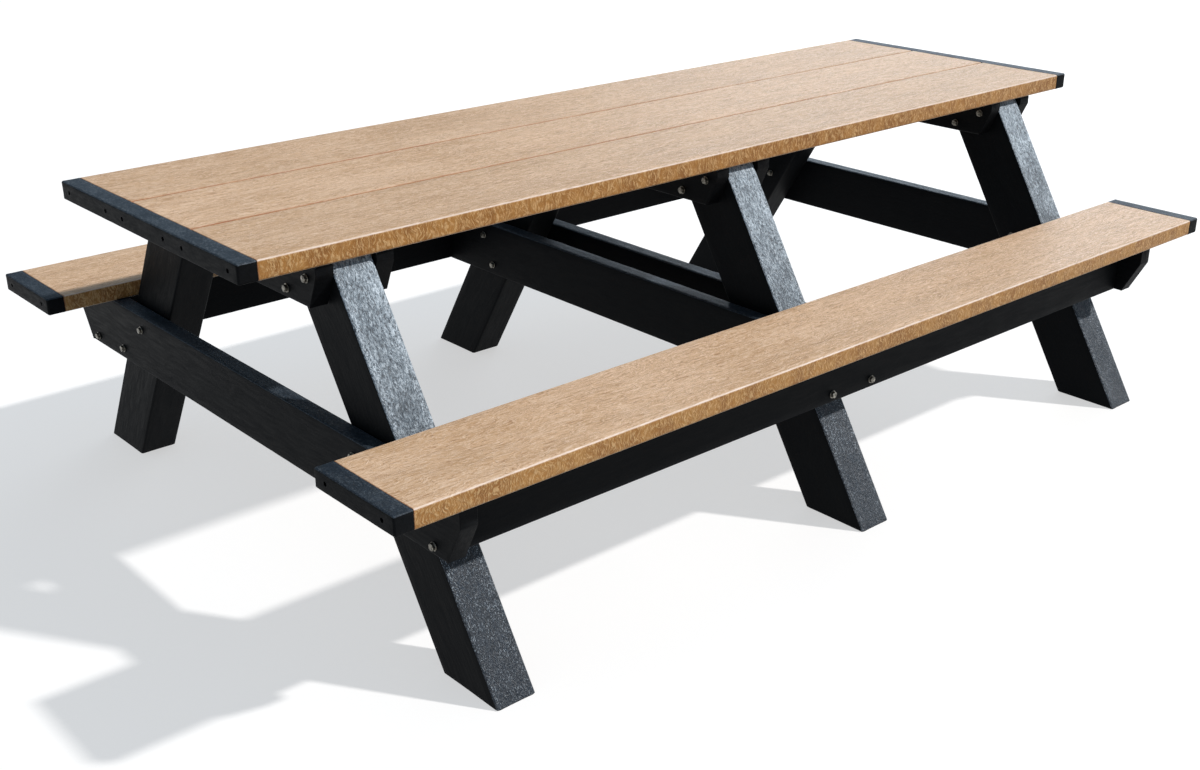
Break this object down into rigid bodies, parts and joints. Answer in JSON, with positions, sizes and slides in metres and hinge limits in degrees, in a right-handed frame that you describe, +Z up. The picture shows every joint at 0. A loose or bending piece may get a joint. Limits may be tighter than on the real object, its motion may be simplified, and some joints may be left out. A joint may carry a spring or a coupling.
{
  "type": "picnic table",
  "caption": "Long A-frame picnic table of plastic lumber: tan plank top and attached plank seats with dark end caps, on splayed dark legs joined by bolted cross boards.",
  "frame": {"origin": "on the ground, under the middle of the table", "axes": "+X along the table, from the left frame to the right frame; +Y across it, towards the rear seat; +Z up"},
  "size_m": [2.4384, 1.578, 0.757],
  "materials": {
    "tan_lumber": "cedar-tan recycled plastic lumber, fine grain along the plank, matt",
    "black_lumber": "black recycled plastic lumber, extruded skin with fine grain, satin",
    "bolt_steel": "dull galvanised or stainless"
  },
  "bodies": {
    "root": {"apron_screw_left_front": "bolt_steel", "apron_screw_left_rear": "bolt_steel", "apron_screw_right_front": "bolt_steel", "apron_screw_right_rear": "bolt_steel", "beam_bolt_left_front_lower": "bolt_steel", "beam_bolt_left_front_upper": "bolt_steel", "beam_bolt_left_rear_lower": "bolt_steel", "beam_bolt_left_rear_upper": "bolt_steel", "beam_bolt_middle_front_lower": "bolt_steel", "beam_bolt_middle_front_upper": "bolt_steel", "beam_bolt_middle_rear_lower": "bolt_steel", "beam_bolt_middle_rear_upper": "bolt_steel", "beam_bolt_right_front_lower": "bolt_steel", "beam_bolt_right_front_upper": "bolt_steel", "beam_bolt_right_rear_lower": "bolt_steel", "beam_bolt_right_rear_upper": "bolt_steel", "leg_left_front": "black_lumber", "leg_left_rear": "black_lumber", "leg_middle_front": "black_lumber", "leg_middle_rear": "black_lumber", "leg_right_front": "black_lumber", "leg_right_rear": "black_lumber", "seat_apron_front": "black_lumber", "seat_apron_rear": "black_lumber", "seat_beam_left": "black_lumber", "seat_beam_middle_left": "black_lumber", "seat_beam_middle_right": "black_lumber", "seat_beam_right": "black_lumber", "seat_end_cap_front_left": "black_lumber", "seat_end_cap_front_right": "black_lumber", "seat_end_cap_rear_left": "black_lumber", "seat_end_cap_rear_right": "black_lumber", "seat_plank_front": "tan_lumber", "seat_plank_rear": "tan_lumber", "top_board_left_left": "black_lumber", "top_board_left_right": "black_lumber", "top_board_middle_left": "black_lumber", "top_board_middle_right": "black_lumber", "top_board_right_left": "black_lumber", "top_board_right_right": "black_lumber", "top_bolt_left_front_inner": "bolt_steel", "top_bolt_left_front_outer": "bolt_steel", "top_bolt_left_rear_inner": "bolt_steel", "top_bolt_left_rear_outer": "bolt_steel", "top_bolt_middle_front_inner": "bolt_steel", "top_bolt_middle_front_outer": "bolt_steel", "top_bolt_middle_rear_inner": "bolt_steel", "top_bolt_middle_rear_outer": "bolt_steel", "top_bolt_right_front_inner": "bolt_steel", "top_bolt_right_front_outer": "bolt_steel", "top_bolt_right_rear_inner": "bolt_steel", "top_bolt_right_rear_outer": "bolt_steel", "top_end_cap_left": "black_lumber", "top_end_cap_right": "black_lumber", "top_plank_front": "tan_lumber", "top_plank_middle": "tan_lumber", "top_plank_rear": "tan_lumber"}
  },
  "joints": []
}
